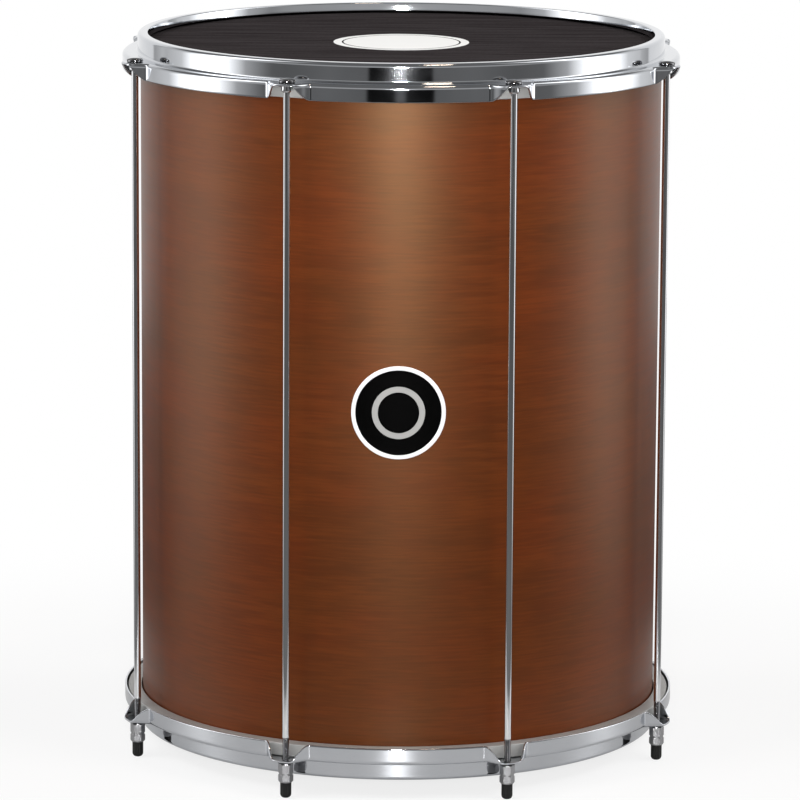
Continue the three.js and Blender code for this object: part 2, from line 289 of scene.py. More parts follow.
def finish(name):
    """A new material and its nodes."""
    material = bpy.data.materials.new(name)
    material.use_nodes = True
    return material, Nodes(material.node_tree)


def from_axis(first, second):
    """The distance from the axis where both coordinates are 0."""
    return (first ** 2 + second ** 2) ** 0.5


floor = floor_disc()
scene.collection.objects.link(floor)
# The camera sees the floor white, with a faint shadow under the drum. To the chrome it shows
# painted light: a pale painted glow near the drum, and further out a painted reflection of the
# soft boxes. Scattered light finds it dim.
paint, ground = finish("floor_paint")
spot = ground.add("SeparateXYZ", Vector=ground.add("TexCoord", out="Object"))
reach = from_axis(spot.of("X"), spot.of("Y"))
floor_share = half_turn_share(spot.of("X"), spot.of("Y"))
# A painted reflection of the soft boxes, which the floor emits to mirrored rays.
painted_box_reflection = ground.blend(ground.step(reach, *glow_ring), (0, 0, 0),
                        box_light(ground, floor_share, spot.of("X")))
# Near the drum the floor emits a pale painted glow to mirrored rays.
pale = ground.add("BsdfPrincipled", Base_Color=floor_grey, Roughness=0.36,
                  Specular_IOR_Level=0.18, Emission_Color=painted_floor_glow, Emission_Strength=1)
glowing = ground.add("BsdfPrincipled", Base_Color=dim_grey, Specular_IOR_Level=0,
                     Emission_Color=painted_box_reflection, Emission_Strength=1)
mirrored = ground.add("MixShader", Fac=1 - ground.step(reach, *near_ring), Shader=glowing,
                      Shader_001=pale)
unseen = ground.add("MixShader", Fac=ground.add("LightPath", out="Is Diffuse Ray"),
                    Shader=mirrored, Shader_001=ground.add("BsdfDiffuse", Color=dim_grey))
matt = ground.add("BsdfDiffuse", Color=(0.9, 0.9, 0.9))
white = ground.add("Emission", Color=(1, 1, 1), Strength=1)
clear_share = 1 - shadow_share + shadow_share * ground.step(reach, *shadow_ring)
looked_at = ground.add("LightPath", out="Is Camera Ray")
ground.add("OutputMaterial", Surface=ground.add(
    "MixShader", Fac=looked_at, Shader=unseen,
    Shader_001=ground.add("MixShader", Fac=clear_share, Shader=matt, Shader_001=white)))
floor.data.materials.append(paint)

# Shell: thin birch plies bent into a tube and glued, then stained a warm brown and lacquered
# satin. The grain runs round the drum. Its rounded ends bear the heads.
MM = 0.001
shell_radius = 228.6 * MM
shell_bottom, shell_top = 26.3 * MM, 622.3 * MM
shell_wall = 7 * MM
bearing_round = 4 * MM
bearing_crest = 1.2 * MM
edge_break = 0.3 * MM
smooth_facets = 256
weld_distance = 1e-7
axis_width = 1e-6


def eased(corners, steps=5, loop=True):
    """Rounds the corners of a section. Each corner is (radius, height, ease), ease may be 0."""
    section = []
    count = len(corners)
    for index, (across, up, ease) in enumerate(corners):
        here = Vector((across, up))
        at_end = not loop and index in (0, count - 1)
        if ease == 0 or at_end:
            section.append((across, up))
            continue
        before = Vector(corners[index - 1][:2]) - here
        after = Vector(corners[(index + 1) % count][:2]) - here
        before.normalize()
        after.normalize()
        half = before.angle(after) / 2
        reach = ease / math.tan(half)
        start, end = here + before * reach, here + after * reach
        middle = here + (before + after).normalized() * (ease / math.sin(half))
        sweep = math.pi - 2 * half
        for step in range(steps + 1):
            share = step / steps
            weight = math.sin(sweep * share) / math.sin(sweep)
            rest = math.sin(sweep * (1 - share)) / math.sin(sweep)
            point = middle + (start - middle) * rest + (end - middle) * weight
            section.append((point.x, point.y))
    return section


def piece_from(name, points, faces, material, crease=35):
    """An object from points and faces, its normals outwards, smooth up to the crease angle."""
    mesh = bpy.data.meshes.new(name)
    mesh.from_pydata(points, [], faces)
    body = bmesh.new()
    body.from_mesh(mesh)
    bmesh.ops.remove_doubles(body, verts=body.verts, dist=weld_distance)
    bmesh.ops.recalc_face_normals(body, faces=body.faces)
    body.to_mesh(mesh)
    body.free()
    mesh.shade_smooth()
    mesh.set_sharp_from_angle(angle=math.radians(crease))
    mesh.materials.append(material)
    piece = bpy.data.objects.new(name, mesh)
    scene.collection.objects.link(piece)
    return piece


def lofted(rings, loop=True):
    """Faces between closed rings of equal length. A ring of one point closes an end."""
    points, starts = [], []
    for ring in rings:
        starts.append(len(points))
        points.extend(ring)
    faces = []
    last = len(rings) if loop else len(rings) - 1
    for index in range(last):
        after = (index + 1) % len(rings)
        first, second = rings[index], rings[after]
        a, b = starts[index], starts[after]
        count = max(len(first), len(second))
        for step in range(count):
            turn = (step + 1) % count
            if len(first) == 1:
                faces.append((a, b + step, b + turn))
            elif len(second) == 1:
                faces.append((a + step, b, a + turn))
            else:
                faces.append((a + step, b + step, b + turn, a + turn))
    return points, faces


def on_circle(radius, angle, height):
    """A point at an azimuth counted from the front (-Y) towards +X."""
    return (radius * math.sin(angle), -radius * math.cos(angle), height)


def moved(ring, centre):
    """A ring shifted sideways to its centre."""
    return [(x + centre[0], y + centre[1], z) for x, y, z in ring]


def turned(name, section, material, facets=smooth_facets, centre=(0, 0), crease=35):
    """A turned piece. The section runs once round, or from axis to axis where it starts on it."""
    rings = []
    for across, up in section:
        if across < axis_width:
            rings.append([(centre[0], centre[1], up)])
            continue
        ring = [on_circle(across, 2 * math.pi * step / facets, up) for step in range(facets)]
        rings.append(moved(ring, centre))
    on_axis = len(rings[0]) == 1
    points, faces = lofted(rings, loop=not on_axis)
    return piece_from(name, points, faces, material, crease)


def dressed(piece, node, body):
    """Puts a piece in the place of its CAD node."""
    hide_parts(node)
    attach(piece, body)


def stretched_noise(nodes, stretch, detail, roughness=0.55):
    """Noise whose grains are 1 / stretch metres long in x, y and z."""
    place = nodes.add("TexCoord", out="Object")
    spread = nodes.add("VectorMath", {"operation": "MULTIPLY"}, Vector=place, Vector_001=stretch)
    return nodes.add("TexNoise", Vector=spread, Scale=1, Detail=detail, Roughness=roughness)


stain, grain = finish("stained_wood")
bands = stretched_noise(grain, (5, 5, 60), 3)
fibres = stretched_noise(grain, (30, 30, 520), 4, 0.6)
pores = stretched_noise(grain, (24, 24, 900), 2)
clouds = stretched_noise(grain, (9, 9, 12), 3)
warmth = grain.step(clouds, 0.36, 0.64)
streak = grain.step(bands * 0.35 + fibres * 0.65, 0.36, 0.64)
pore = grain.step(pores, 0.5, 0.68)
umber = grain.blend(warmth, (0.062, 0.0098, 0.0002), (0.073, 0.0094, 0.0002))
amber = grain.blend(warmth, (0.096, 0.0172, 0.0008), (0.106, 0.016, 0.0006))
blotch = grain.step(stretched_noise(grain, (14, 14, 17), 3), 0.45, 0.72)
dark_umber = (0.045, 0.0085, 0.0006)
wood_colour = grain.blend(pore * 0.3 + blotch * 0.3, grain.blend(streak, umber, amber), dark_umber)
wood_bump = grain.add("Bump", Strength=0.15, Distance=0.0001, Height=fibres - pore * 0.4)
grain.add("OutputMaterial", Surface=grain.add(
    "BsdfPrincipled", Base_Color=wood_colour, Roughness=0.38 + 0.08 * fibres, Normal=wood_bump,
    IOR=1.62, Specular_Tint=(1, 0.66, 0.36), Coat_Weight=0.05, Coat_Roughness=0.2))


def bearing_edge(direction, end):
    """Corners of one end of the tube, whose direction is 1 at the top and -1 at the bottom."""
    bevel = shell_wall - bearing_round - bearing_crest
    return [
        (shell_radius, end - direction * 3 * bearing_round, 0),
        (shell_radius, end, bearing_round),
        (shell_radius - bearing_round - bearing_crest, end, edge_break),
        (shell_radius - shell_wall, end - direction * bevel, edge_break),
    ]


shell_section = eased(bearing_edge(1, shell_top) + bearing_edge(-1, shell_bottom)[::-1], steps=8)
shell = turned("shell_tube", shell_section, stain)
dressed(shell, "shell", "drum")

# Heads: a black film with the grain of fine leather, glued into its hoop and drawn down over the
# shell's edge. A plain white disc with a thin ring is printed in the middle of the upper one.
top_ledge = 616.1 * MM
bottom_ledge = 32.5 * MM
film_radius = 229.4 * MM
film_thickness = 0.5 * MM
head_face = 7 * MM
film_tuck = 9 * MM
film_bend, film_inner_bend = bearing_round + 0.8 * MM, bearing_round + 0.3 * MM
print_radius = 59.5 * MM
print_ring_radius = 51.5 * MM
print_ring_width = 1.6 * MM


def at_top(section):
    """A section drawn from the ledge of its hoop, put at the top of the drum."""
    return [(across, top_ledge + up) for across, up in section]


def at_bottom(section):
    """The same section turned over, at the bottom of the drum."""
    return [(across, bottom_ledge - up) for across, up in section]


ends = {"top": at_top, "bottom": at_bottom}
film_back = head_face - film_thickness
head_section = eased([
    (0, head_face, 0),
    (film_radius, head_face, film_bend),
    (film_radius, -film_tuck, 0),
    (film_radius - film_thickness, -film_tuck, 0),
    (film_radius - film_thickness, film_back, film_inner_bend),
    (0, film_back, 0),
], steps=8, loop=False)


def head_film(name, printed):
    """The black film, with the disc and its ring on the upper one."""
    film, skin = finish(name)
    hide = stretched_noise(skin, (10, 150, 10), 4, 0.6)
    creases = stretched_noise(skin, (420, 620, 420), 3, 0.6)
    # The lighter streaks follow the leather grain and are also a painted sheen, since the film has
    # no specular.
    grain_and_painted_sheen = skin.step(hide * 0.7 + creases * 0.3, 0.36, 0.66)
    colour = skin.blend(grain_and_painted_sheen, (0.023, 0.0197, 0.0204), (0.041, 0.0362, 0.0375))
    rough = 0.5 + 0.12 * hide
    if printed:
        spot = skin.add("SeparateXYZ", Vector=skin.add("TexCoord", out="Object"))
        reach = from_axis(spot.of("X"), spot.of("Y"))
        disc = reach < print_radius
        ring = abs(reach - print_ring_radius) < print_ring_width / 2
        ink = skin.blend(ring, (0.72, 0.72, 0.71), (0.02, 0.02, 0.02))
        colour = skin.blend(disc, colour, ink)
        rough = rough - disc * 0.1
    bump = skin.add("Bump", Strength=0.35, Distance=0.0002, Height=hide * 0.4 + creases)
    skin.add("OutputMaterial", Surface=skin.add(
        "BsdfPrincipled", Base_Color=colour, Roughness=rough, Normal=bump, Specular_IOR_Level=0))
    return film


films = {"top": head_film("printed_head_film", True), "bottom": head_film("plain_head_film", False)}
for end, placed in ends.items():
    head = turned(f"{end}_head_film", placed(head_section), films[end])
    dressed(head, f"{end}_head", "drum")

# Flesh hoops: aluminium bars rolled into rings, satin from the turning of their faces. They hold
# the edges of the films and lie under the ledges of the steel hoops.
flesh_inner, flesh_outer = 229.7 * MM, 241.5 * MM
flesh_top, flesh_bottom = -1.9 * MM, -13.4 * MM
flesh_bevel_width, flesh_bevel_depth = 3.4 * MM, 1.8 * MM
flesh_section = eased([
    (flesh_inner, flesh_bottom, 0.6 * MM),
    (flesh_outer, flesh_bottom, 0.9 * MM),
    (flesh_outer, flesh_top, 1.2 * MM),
    (flesh_inner + flesh_bevel_width, flesh_top, 0.4 * MM),
    (flesh_inner, flesh_top - flesh_bevel_depth, 0.4 * MM),
])

bar, mill = finish("satin_aluminium")
turning = stretched_noise(mill, (30, 30, 2600), 3)
dulling = stretched_noise(mill, (60, 60, 60), 3)
bar_colour = mill.blend(dulling, (0.43, 0.43, 0.42), (0.54, 0.537, 0.525))
bar_bump = mill.add("Bump", Strength=0.2, Distance=0.0001, Height=turning)
mill.add("OutputMaterial", Surface=mill.add(
    "BsdfPrincipled", Base_Color=bar_colour, Metallic=0.6, Roughness=0.42 + 0.14 * turning,
    Normal=bar_bump))
for end, placed in ends.items():
    flesh_hoop = turned(f"{end}_flesh_ring", placed(flesh_section), bar)
    dressed(flesh_hoop, f"{end}_flesh_hoop", "drum")

# Hoops: steel sheet pressed into a collar with a rolled rim, a flat ledge and a skirt, and chromed.
# Each of the eight ears is a scoop stamped out of the skirt, with an arch cut in its face.
rod_count = 8
sheet = 1.6 * MM
collar_height = 16.5 * MM
collar_inner = 229.7 * MM
collar_outer = collar_inner + sheet
ledge_seam = collar_outer + 6.5 * MM
roll_width, roll_radius = 8.9 * MM, 3.4 * MM
lip_drop, lip_lean, lip_bevel = 7.4 * MM, 1.1 * MM, 1.1 * MM
foot_fillet, ledge_bend = 1.8 * MM, 3.6 * MM
skirt_radius, skirt_height = 244.6 * MM, 14.6 * MM
rod_circle = 247.5 * MM
ear_tip = 258 * MM
ear_half_width, ear_roundness = 21.2 * MM, 1.8
ear_lip, ear_margin = 0.4 * MM, 1 * MM
arch_crown, arch_half_width = 7 * MM, 20 * MM
cut_ease = 0.55 * MM
edge_steps = 4
face_margin = 0.12
rod_hole, hole_facets = 3.7 * MM, 32
drill_reach = 3 * sheet
hoop_crease = 50
sector = 2 * math.pi / rod_count
ear_steps, plain_steps = 44, 22


def unit(share):
    """A share kept between 0 and 1."""
    return min(max(share, 0), 1)


def from_rod(angle):
    """Distance from the nearest rod along the rods' circle."""
    turn = angle / sector
    return (turn - math.floor(turn) - 0.5) * sector * rod_circle


def outline(angle):
    """The outside of the skirt at an azimuth, which swells out to an ear at every rod."""
    out = unit(abs(from_rod(angle)) / ear_half_width)
    swell = (1 + math.cos(math.pi * out ** ear_roundness)) / 2
    return Vector(on_circle(skirt_radius + (ear_tip - skirt_radius) * swell, angle, 0))


def outline_inward(angle):
    """The direction into the drum, square to the outline."""
    nudge = sector * 1e-4
    along = (outline(angle + nudge) - outline(angle - nudge)).normalized()
    return Vector((-along.y, along.x, 0))


def skirt_depth(angle):
    """How deep the skirt hangs from the ledge, less in the arch at every rod."""
    shallow = sheet + ear_lip
    out = unit((abs(from_rod(angle)) - arch_crown) / (arch_half_width - arch_crown))
    return shallow + (skirt_height - shallow) * (1 - math.cos(math.pi * out)) / 2


def hoop_angles():
    """Fine steps through every ear and coarser ones between, once round the drum."""
    ear = (ear_half_width + ear_margin) / rod_circle
    gap = sector - 2 * ear
    one = [-ear + 2 * ear * step / ear_steps for step in range(ear_steps)]
    one += [ear + gap * step / plain_steps for step in range(plain_steps)]
    return [(rod + 0.5) * sector + turn for rod in range(rod_count) for turn in one]


def quarter(centre, radius, start, stop, steps=7):
    """Points of an arc between two angles in degrees."""
    turns = [math.radians(start + (stop - start) * step / steps) for step in range(steps + 1)]
    return [(centre[0] + radius * math.cos(t), centre[1] + radius * math.sin(t)) for t in turns]


angles = hoop_angles()
normals = [outline_inward(angle) for angle in angles]
outlines = [outline(angle) for angle in angles]
depths = [skirt_depth(angle) for angle in angles]
bends = [min(max(depth - ear_lip, sheet), ledge_bend) for depth in depths]


def skirt_ring(place):
    """A ring along the ears' outline. Place gives the inset and height for a depth and a bend."""
    ring = []
    for point, inward, depth, bend in zip(outlines, normals, depths, bends):
        inset, height = place(depth, bend)
        spot = point + inward * inset
        ring.append((spot.x, spot.y, height))
    return ring


def edge_ring(inset, up):
    """A ring along the free edge of the skirt."""
    return skirt_ring(lambda depth, bend: (inset, up - depth))


def face_ring(inset, share):
    """A ring on the flat of the skirt, near its edge (share 0) or its bend (share 1)."""
    part = face_margin + (1 - 2 * face_margin) * share
    return skirt_ring(lambda depth, bend: (
        inset, -depth + cut_ease + (depth - bend - cut_ease) * part))


def bend_ring(across, up, inner=0):
    """A ring of the bend over the skirt, from a point of its arc."""
    return skirt_ring(lambda depth, bend: (
        bend - (bend - inner) * across, (bend - inner) * up - bend))


def collar_ring(across, up):
    """A ring of the collar or the ledge, as far as the seam where the skirt's bend begins."""
    return [on_circle(across, angle, up) for angle in angles]


lip = collar_outer - roll_width
collar_section = eased([
    (ledge_seam, 0, 0),
    (collar_outer, 0, foot_fillet),
    (collar_outer, collar_height, roll_radius),
    (lip, collar_height, lip_bevel),
    (lip - lip_lean, collar_height - lip_drop, cut_ease),
    (lip - lip_lean + sheet, collar_height - lip_drop, cut_ease),
    (lip + sheet, collar_height - sheet, 0.4 * MM),
    (collar_inner, collar_height - sheet, roll_radius - sheet),
    (collar_inner, -sheet, foot_fillet + sheet),
    (ledge_seam, -sheet, 0),
], steps=7, loop=False)
bend_arc = quarter((0, 0), 1, 0, 90)
edge_outside = quarter((cut_ease, cut_ease), cut_ease, 270, 180, edge_steps)
edge_inside = quarter((sheet - cut_ease, cut_ease), cut_ease, 0, -90, edge_steps)
hoop_rings = (
    [edge_ring(inset, up) for inset, up in edge_outside]
    + [face_ring(0, share) for share in (0, 1)]
    + [bend_ring(across, up) for across, up in bend_arc]
    + [collar_ring(across, up) for across, up in collar_section]
    + [bend_ring(across, up, sheet) for across, up in bend_arc[::-1]]
    + [face_ring(sheet, share) for share in (1, 0)]
    + [edge_ring(inset, up) for inset, up in edge_inside]
)

cut_steel, shear = finish("sheared_edge")
tears = stretched_noise(shear, (500, 500, 160), 3)
shear.add("OutputMaterial", Surface=shear.add(
    "BsdfPrincipled", Base_Color=shear.blend(tears, (0.07, 0.07, 0.075), (0.2, 0.2, 0.21)),
    Metallic=1, Roughness=0.22 + 0.2 * tears))
plate, polish = finish("hoop_chrome")
rolling = stretched_noise(polish, (5, 5, 420), 3)
smears = stretched_noise(polish, (38, 38, 60), 4)
plate_colour = polish.blend(smears, (0.57, 0.59, 0.62), (0.645, 0.66, 0.69))
plate_bump = polish.add("Bump", Strength=0.05, Distance=0.0002, Height=rolling + smears * 0.6)
polish.add("OutputMaterial", Surface=polish.add(
    "BsdfPrincipled", Base_Color=plate_colour, Metallic=1, Roughness=0.03 + 0.05 * smears,
    Normal=plate_bump))


def rod_places():
    """The number of every rod and where it stands."""
    turns = [(rod + 0.5) * sector for rod in range(rod_count)]
    return [(index + 1, on_circle(rod_circle, turn, 0)[:2]) for index, turn in enumerate(turns)]


def rod_drills(height):
    """Round pins through the ledge at this height, which cut the rods' holes."""
    drills = bmesh.new()
    turns = [2 * math.pi * step / hole_facets for step in range(hole_facets)]
    for _, centre in rod_places():
        low, high = [moved([on_circle(rod_hole, turn, up) for turn in turns], centre)
                     for up in (height - drill_reach, height + drill_reach)]
        lows = [drills.verts.new(point) for point in low]
        highs = [drills.verts.new(point) for point in high]
        drills.faces.new(lows)
        drills.faces.new(highs[::-1])
        for step in range(hole_facets):
            after = (step + 1) % hole_facets
            drills.faces.new((lows[step], lows[after], highs[after], highs[step]))
    bmesh.ops.recalc_face_normals(drills, faces=drills.faces)
    mesh = bpy.data.meshes.new("rod_drills")
    drills.to_mesh(mesh)
    drills.free()
    cutter = bpy.data.objects.new("rod_drills", mesh)
    scene.collection.objects.link(cutter)
    return cutter


def pressed_hoop(name, placed):
    """A hoop of chromed sheet with the rods' holes drilled in it. The last ring of faces closes
    the sheet along its cut edge, which is coloured a dark grey."""
    rings = [[(x, y, placed([(0, z)])[0][1]) for x, y, z in ring] for ring in hoop_rings]
    points, faces = lofted(rings)
    hoop = piece_from(name, points, faces, plate, hoop_crease)
    hoop.data.materials.append(cut_steel)
    cut_from = (len(hoop_rings) - 1) * len(angles)
    for face in hoop.data.polygons[cut_from:]:
        face.material_index = 1
    cutter = rod_drills(placed([(0, -sheet / 2)])[0][1])
    cut = hoop.modifiers.new("rod_holes", "BOOLEAN")
    cut.operation, cut.solver, cut.object = "DIFFERENCE", "EXACT", cutter
    bpy.context.view_layer.update()
    worked = hoop.evaluated_get(bpy.context.evaluated_depsgraph_get())
    drilled = bpy.data.meshes.new_from_object(worked)
    hoop.modifiers.clear()
    hoop.data = drilled
    hoop.data.name = name
    hoop.data.set_sharp_from_angle(angle=math.radians(hoop_crease))
    bpy.data.objects.remove(cutter)
    return hoop


for end, placed in ends.items():
    hoop = pressed_hoop(f"{end}_pressed_hoop", placed)
    dressed(hoop, f"{end}_hoop", "drum")

# Tension rods: M6 steel, chromed, with a rolled shoulder under the upper ear. The thread, coloured
# darker than the chrome, runs up from the nut to a little above the lower ear.
rod_radius = 3 * MM
rod_end = 15.2 * MM
shoulder_radius = 4.8 * MM
clearance = 0.3 * MM
shoulder_top = top_ledge - sheet - clearance
shoulder_height = 6 * MM
shoulder_swell, shoulder_round = 0.7 * MM, 1.7 * MM
rod_stub = 2.4 * MM
thread_pitch, thread_depth = 1 * MM, 0.6 * MM
thread_top = 53 * MM
thread_fade, thread_relief = 1.5 * MM, 1 * MM
thread_fullness = 1.25
rod_facets = 24
rows_per_turn = 6

rod_plate, shine = finish("rod_chrome")
drawing = stretched_noise(shine, (900, 900, 14), 3)
rod_colour = shine.blend(drawing, (0.76, 0.77, 0.79), (0.88, 0.885, 0.9))
rod_bump = shine.add("Bump", Strength=0.08, Distance=0.00005, Height=drawing)
shine.add("OutputMaterial", Surface=shine.add(
    "BsdfPrincipled", Base_Color=rod_colour, Metallic=1, Roughness=0.05 + 0.05 * drawing,
    Normal=rod_bump))


def tension_rod(name, centre):
    """A rod, with the helix of its thread in rows and its shoulder above them."""
    rows = []
    row_count = round((thread_top - rod_end) / thread_pitch * rows_per_turn)
    for row in range(row_count + 1):
        height = rod_end + (thread_top - rod_end) * row / row_count
        depth = thread_depth * unit((thread_top - height) / thread_fade)
        ring = []
        for step in range(rod_facets):
            turn = height / thread_pitch - step / rod_facets
            ridge = abs(2 * (turn - math.floor(turn)) - 1)
            across = rod_radius - depth * unit(thread_fullness * (1 - ridge))
            ring.append(on_circle(across, 2 * math.pi * step / rod_facets, height))
        rows.append(moved(ring, centre))
    upper = eased([
        (rod_radius, thread_top + thread_relief, 0),
        (rod_radius, shoulder_top - shoulder_height, 0.3 * MM),
        (shoulder_radius, shoulder_top - shoulder_height + shoulder_swell, shoulder_round),
        (shoulder_radius, shoulder_top, 0.4 * MM),
        (rod_radius, shoulder_top, 0),
        (rod_radius, top_ledge + rod_stub, 0.4 * MM),
        (0, top_ledge + rod_stub, 0),
    ], loop=False)
    for across, up in upper[:-1]:
        ring = [on_circle(across, 2 * math.pi * s / rod_facets, up) for s in range(rod_facets)]
        rows.append(moved(ring, centre))
    rows.append([(centre[0], centre[1], top_ledge + rod_stub)])
    rows.insert(0, [(centre[0], centre[1], rod_end)])
    points, faces = lofted(rows, loop=False)
    return piece_from(name, points, faces, rod_plate, crease=60)


rolled, rolling_dies = finish("rolled_thread")
rolling_dies.add("OutputMaterial", Surface=rolling_dies.add(
    "BsdfPrincipled", Base_Color=(0.25, 0.25, 0.26), Metallic=1, Roughness=0.2))
for index, centre in rod_places():
    rod = tension_rod(f"rod_{index}", centre)
    rod.data.materials.append(rolled)
    for face in rod.data.polygons:
        if face.center.z < thread_top:
            face.material_index = 1
    dressed(rod, f"tension_rod_{index}", "drum")

# Rod caps: low domed nuts turned from steel and chromed, screwed on the rods' upper ends. They
# bear on the upper ears. Their crowns are painted bright and their sides painted dark: a painted
# reflection of the bright sky above and of the dark walls and floor.
cap_radius = 7.1 * MM
cap_seat = top_ledge + clearance
cap_top = cap_seat + 3.8 * MM
cap_edge = 1.3 * MM
cap_bore, cap_roof = 3.3 * MM, top_ledge + rod_stub + clearance
painted_bright_from, painted_bright_to = cap_seat + 1.8 * MM, cap_top - 0.4 * MM
dome_steps = 10
slim_facets = 32

cap_plate, lustre = finish("cap_chrome")
wear = stretched_noise(lustre, (300, 300, 300), 3)
level = lustre.add("SeparateXYZ", Vector=lustre.add("TexCoord", out="Object"))
# Painted reflection: bright chrome on the crown, dark painted shade on the sides below it.
painted_bright_crown = lustre.step(level.of("Z"), painted_bright_from, painted_bright_to)
lustre.add("OutputMaterial", Surface=lustre.add(
    "BsdfPrincipled", Base_Color=lustre.blend(painted_bright_crown, (0.15, 0.15, 0.155), (0.7, 0.705, 0.72)),
    Metallic=1, Roughness=0.05 + 0.04 * wear))


def cap_section():
    """The hollow cap, from the roof of its bore round to the top of its dome."""
    dome_height = cap_top - cap_seat - cap_edge
    dome = quarter((0, 0), 1, 0, 90, dome_steps)
    section = eased([
        (0, cap_roof, 0),
        (cap_bore, cap_roof, 0),
        (cap_bore, cap_seat, 0.2 * MM),
        (cap_radius, cap_seat, 0.4 * MM),
        (cap_radius, cap_seat + cap_edge, 0),
    ], loop=False)
    rise = cap_seat + cap_edge
    return section + [(across * cap_radius, rise + up * dome_height) for across, up in dome[1:]]


for index, centre in rod_places():
    cap = turned(f"cap_{index}", cap_section(), cap_plate, slim_facets, centre, crease=60)
    dressed(cap, f"rod_cap_{index}", "drum")

# Washers: black oxide steel, between the nuts and the lower ears. They ride up and down with the
# nuts without turning.
washer_bottom, washer_thickness = 30.7 * MM, 1.5 * MM
washer_radius = 7 * MM
washer_section = eased([
    (rod_hole, washer_bottom, 0.2 * MM),
    (washer_radius, washer_bottom, 0.4 * MM),
    (washer_radius, washer_bottom + washer_thickness, 0.4 * MM),
    (rod_hole, washer_bottom + washer_thickness, 0.2 * MM),
])
oxide, blacking = finish("black_oxide")
specks = stretched_noise(blacking, (800, 800, 800), 3)
oxide_colour = blacking.blend(specks, (0.009, 0.009, 0.01), (0.03, 0.03, 0.032))
oxide_bump = blacking.add("Bump", Strength=0.2, Distance=0.0001, Height=specks)
blacking.add("OutputMaterial", Surface=blacking.add(
    "BsdfPrincipled", Base_Color=oxide_colour, Metallic=0.6, Roughness=0.3 + 0.2 * specks,
    Normal=oxide_bump))
for index, centre in rod_places():
    washer = turned(f"steel_washer_{index}", washer_section, oxide, slim_facets, centre)
    dressed(washer, f"washer_{index}", f"nut_travel_{index}")

# Nuts: long hexagons turned from chromed steel bar, with a groove round the middle. They draw the
# rods down through the lower ears, and each takes a rubber foot in its lower end.
nut_bottom, nut_height = 13.7 * MM, 16.7 * MM
nut_flat = 5.7 * MM
nut_rim, nut_taper, nut_crown = 0.3 * MM, 1.4 * MM, 0.9 * MM
groove_height, groove_half = 21.2 * MM, 0.6 * MM
groove_radius, groove_flank = nut_flat + 0.1 * MM, 0.4 * MM
corner_share = 0.985
nut_bore = 3.3 * MM
nut_facets = 72
# The nut chrome is painted darker than the hoops' chrome, a painted shade.
nut_plate, buff = finish("nut_chrome")
milling = stretched_noise(buff, (420, 420, 420), 3)
nut_colour = buff.blend(milling, (0.31, 0.31, 0.32), (0.39, 0.39, 0.4))
nut_bump = buff.add("Bump", Strength=0.02, Distance=0.0001, Height=milling)
buff.add("OutputMaterial", Surface=buff.add(
    "BsdfPrincipled", Base_Color=nut_colour, Metallic=1, Roughness=0.3 + 0.08 * milling,
    Normal=nut_bump))


def hexagon(angle):
    """How far the side of a hexagon lies from its middle, with the flats at 1 and one in front."""
    side = math.pi / 3
    return 1 / math.cos((angle + side / 2) % side - side / 2)


def hex_nut(name, centre):
    """A nut turned from hexagonal bar, its corners slightly blunt."""
    top = nut_bottom + nut_height
    corner = nut_flat / math.cos(math.pi / 6)
    blank = eased([
        (nut_bore, nut_bottom, 0),
        (nut_flat - nut_rim, nut_bottom, 0.3 * MM),
        (corner, nut_bottom + nut_taper, 0.5 * MM),
        (corner, groove_height - groove_half - groove_flank, 0.1 * MM),
        (groove_radius, groove_height - groove_half, 0.1 * MM),
        (groove_radius, groove_height + groove_half, 0.1 * MM),
        (corner, groove_height + groove_half + groove_flank, 0.1 * MM),
        (corner, top - nut_crown, 0.4 * MM),
        (nut_flat - nut_rim, top, 0.2 * MM),
        (nut_bore, top, 0),
    ], steps=4)
    rings = []
    for across, up in blank:
        ring = []
        for step in range(nut_facets):
            angle = 2 * math.pi * step / nut_facets
            edge = min(nut_flat * hexagon(angle), corner_share * corner)
            ring.append(on_circle(min(across, edge), angle, up))
        rings.append(moved(ring, centre))
    points, faces = lofted(rings)
    return piece_from(name, points, faces, nut_plate, crease=25)


for index, centre in rod_places():
    nut = hex_nut(f"hex_nut_{index}", centre)
    dressed(nut, f"tension_nut_{index}", f"nut_turning_{index}")

# Feet: black rubber tips moulded with fine flutes, pushed into the nuts. The drum stands on them.
foot_radius, foot_length = 4.8 * MM, 13.4 * MM
foot_spigot, foot_round = 1.5 * MM, 3.4 * MM
flute_count, flute_depth = 12, 0.35 * MM
flute_foot, flute_head = 1.2 * MM, foot_length - 1.2 * MM
flute_run_in, flute_run_out = 2 * MM, 0.8 * MM
straight_from, straight_rows = 2.6 * MM, 8
foot_facets = 72
rubber, mould = finish("moulded_rubber")
grit = stretched_noise(mould, (900, 900, 900), 3)
rubber_colour = mould.blend(grit, (0.002, 0.002, 0.002), (0.008, 0.008, 0.008))
rubber_bump = mould.add("Bump", Strength=0.3, Distance=0.0001, Height=grit)
mould.add("OutputMaterial", Surface=mould.add(
    "BsdfPrincipled", Base_Color=rubber_colour, Specular_IOR_Level=0.3,
    Roughness=0.4 + 0.2 * grit, Normal=rubber_bump))


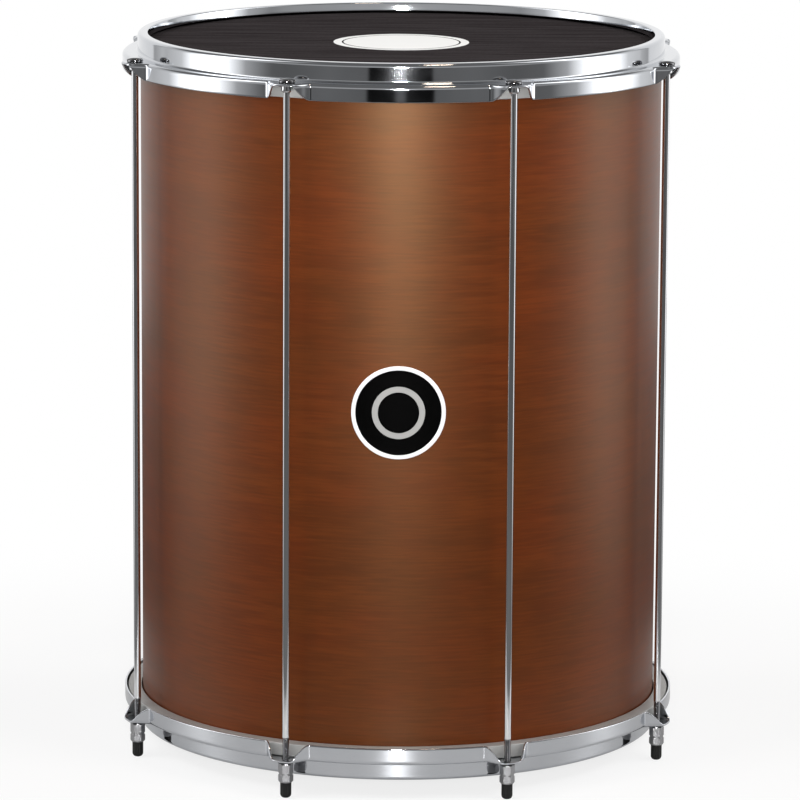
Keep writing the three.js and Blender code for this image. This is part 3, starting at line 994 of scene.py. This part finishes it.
def rubber_foot(name, centre):
    """A tip with a round end, fluted along its straight side, and a spigot for the nut's bore."""
    section = eased([
        (0, 0, 0),
        (foot_radius, 0, foot_round),
        (foot_radius, foot_length, 0.3 * MM),
        (rod_radius, foot_length, 0),
        (rod_radius, foot_length + foot_spigot, 0.2 * MM),
        (0, foot_length + foot_spigot, 0),
    ], steps=8, loop=False)
    straight = flute_head - straight_from
    sides = [(foot_radius, straight_from + straight * row / straight_rows)
             for row in range(1, straight_rows + 1)]
    split = next(i for i, (across, up) in enumerate(section) if up > foot_length / 2)
    section = section[:split] + sides + section[split:]
    rings = []
    for across, up in section:
        if across < axis_width:
            rings.append([(centre[0], centre[1], up)])
            continue
        fluted = unit((up - flute_foot) / flute_run_in) * unit((flute_head - up) / flute_run_out)
        ring = []
        for step in range(foot_facets):
            angle = 2 * math.pi * step / foot_facets
            hollow = fluted * flute_depth * (0.5 - 0.5 * math.cos(flute_count * angle))
            ring.append(on_circle(across - hollow, angle, up))
        rings.append(moved(ring, centre))
    points, faces = lofted(rings, loop=False)
    return piece_from(name, points, faces, rubber, crease=60)


for index, centre in rod_places():
    foot = rubber_foot(f"foot_tip_{index}", centre)
    dressed(foot, f"rubber_foot_{index}", f"nut_turning_{index}")

# Badge: a steel disc bent to the shell and fixed flat on it, with a raised white border round a
# black enamel field. The field is plain but for a ring of silver grey.
badge_height = 336.3 * MM
badge_radius = 40 * MM
badge_border = 3.3 * MM
badge_back = shell_radius + 0.3 * MM
badge_face = badge_back + 1 * MM
badge_rise, badge_bevel = 0.5 * MM, 0.4 * MM
badge_rows = 8
glaze_lap = 0.25 * MM
badge_ring_radius, badge_ring_width = 20 * MM, 5 * MM
badge_facets = 144
enamel, kiln = finish("badge_enamel")
spot = kiln.add("SeparateXYZ", Vector=kiln.add("TexCoord", out="Object"))
reach = from_axis(spot.of("X"), spot.of("Z") - badge_height)
flow = stretched_noise(kiln, (300, 300, 300), 3)
border = reach > badge_radius - badge_border - glaze_lap
ring = abs(reach - badge_ring_radius) < badge_ring_width / 2
white_glaze = kiln.blend(flow, (0.78, 0.765, 0.785), (0.84, 0.83, 0.85))
black_enamel = kiln.blend(flow, (0.0003, 0.0003, 0.0003), (0.001, 0.001, 0.001))
silver_grey = (0.36, 0.355, 0.345)
field = kiln.blend(ring, black_enamel, silver_grey)
enamel_bump = kiln.add("Bump", Strength=0.06, Distance=0.0001, Height=flow)
kiln.add("OutputMaterial", Surface=kiln.add(
    "BsdfPrincipled", Base_Color=kiln.blend(border, field, white_glaze),
    Roughness=0.3 + 0.08 * flow + ring * 0.1, Specular_IOR_Level=0.03, Normal=enamel_bump))


def badge_disc():
    """The disc, wrapped round the shell, with rings of faces that let its field bend."""
    inner = badge_radius - badge_border
    rings = [inner * row / badge_rows for row in range(1, badge_rows)]
    section = [(0, badge_back)] + [(across, badge_back) for across in rings] + eased([
        (inner, badge_back, 0),
        (badge_radius, badge_back, 0.2 * MM),
        (badge_radius, badge_face + badge_rise, 0.45 * MM),
        (inner, badge_face + badge_rise, 0.35 * MM),
        (inner - badge_bevel, badge_face, 0.3 * MM),
        (rings[-1], badge_face, 0),
    ], loop=False)
    section += [(across, badge_face) for across in rings[::-1][1:]] + [(0, badge_face)]
    loops = []
    for across, out in section:
        if across < axis_width:
            loops.append([on_circle(out, 0, badge_height)])
            continue
        loop = []
        for step in range(badge_facets):
            turn = 2 * math.pi * step / badge_facets
            sideways, up = across * math.sin(turn), across * math.cos(turn)
            loop.append(on_circle(out, sideways / shell_radius, badge_height + up))
        loops.append(loop)
    points, faces = lofted(loops, loop=False)
    return piece_from("badge_disc", points, faces, enamel, crease=60)


badge = badge_disc()
dressed(badge, "badge", "drum")
